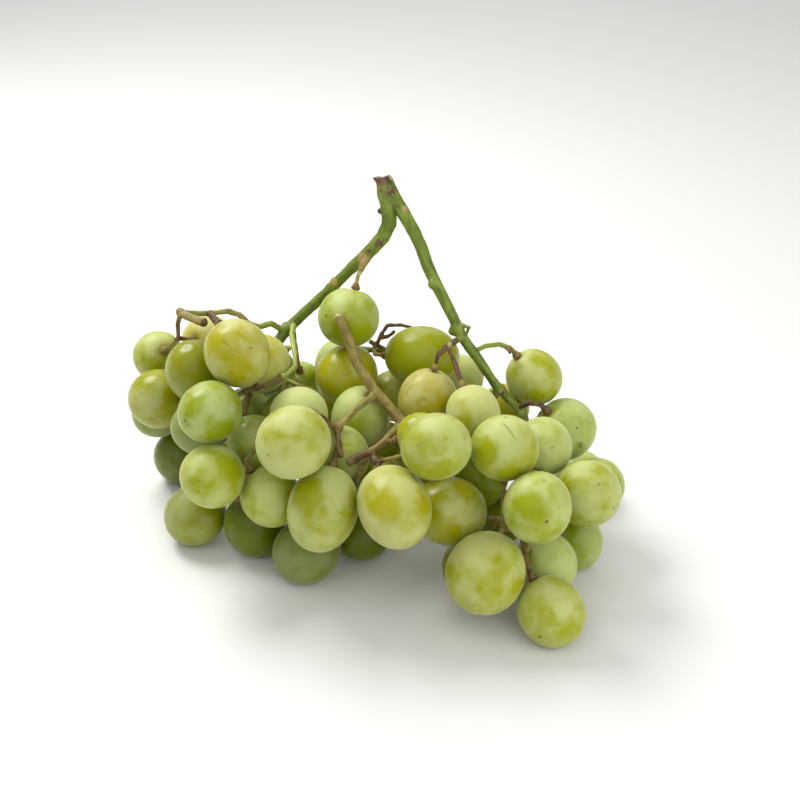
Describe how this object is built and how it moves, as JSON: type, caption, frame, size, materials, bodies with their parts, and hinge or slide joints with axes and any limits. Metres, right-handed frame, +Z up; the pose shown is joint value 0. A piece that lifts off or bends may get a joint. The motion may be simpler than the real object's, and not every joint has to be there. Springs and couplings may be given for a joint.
{
  "type": "bunch of grapes",
  "caption": "Loose bunch of white table grapes lying on its berries, with a forked green stem arched above them.",
  "frame": {"origin": "on the table, under the middle of the bunch's bounding box", "axes": "+Z up, away from the table; +X along the bunch, towards the end where its lowest berries hang over the front; +Y to the back, where the stem's crown stands"},
  "size_m": [0.1753, 0.1236, 0.1187],
  "materials": {
    "berry_skin": "semi-gloss, with a pale waxy bloom",
    "stem_bark": "matte"
  },
  "bodies": {
    "root": {"stem": "stem_bark", "berry_left_01": "berry_skin", "berry_left_02": "berry_skin", "berry_left_03": "berry_skin", "berry_left_04": "berry_skin", "berry_left_05": "berry_skin", "berry_left_06": "berry_skin", "berry_left_07": "berry_skin", "berry_left_08": "berry_skin", "berry_left_09": "berry_skin", "berry_left_10": "berry_skin", "berry_left_11": "berry_skin", "berry_left_12": "berry_skin", "berry_left_13": "berry_skin", "berry_left_14": "berry_skin", "berry_left_15": "berry_skin", "berry_left_16": "berry_skin", "berry_left_17": "berry_skin", "berry_left_18": "berry_skin", "berry_left_19": "berry_skin", "berry_left_20": "berry_skin", "berry_left_21": "berry_skin", "berry_left_22": "berry_skin", "berry_left_23": "berry_skin", "berry_left_24": "berry_skin", "berry_left_25": "berry_skin", "berry_left_26": "berry_skin", "berry_left_27": "berry_skin", "berry_left_28": "berry_skin", "berry_left_29": "berry_skin", "berry_left_30": "berry_skin", "berry_left_31": "berry_skin", "berry_left_32": "berry_skin", "berry_left_33": "berry_skin", "berry_left_34": "berry_skin", "berry_left_35": "berry_skin", "berry_middle_01": "berry_skin", "berry_middle_02": "berry_skin", "berry_middle_03": "berry_skin", "berry_middle_04": "berry_skin", "berry_middle_05": "berry_skin", "berry_middle_06": "berry_skin", "berry_middle_07": "berry_skin", "berry_middle_08": "berry_skin", "berry_middle_09": "berry_skin", "berry_middle_10": "berry_skin", "berry_right_01": "berry_skin", "berry_right_02": "berry_skin", "berry_right_03": "berry_skin", "berry_right_04": "berry_skin", "berry_right_05": "berry_skin", "berry_right_06": "berry_skin", "berry_right_07": "berry_skin", "berry_right_08": "berry_skin", "berry_right_09": "berry_skin", "berry_right_10": "berry_skin", "berry_right_11": "berry_skin", "berry_right_12": "berry_skin", "berry_right_13": "berry_skin", "berry_right_14": "berry_skin"}
  },
  "joints": []
}
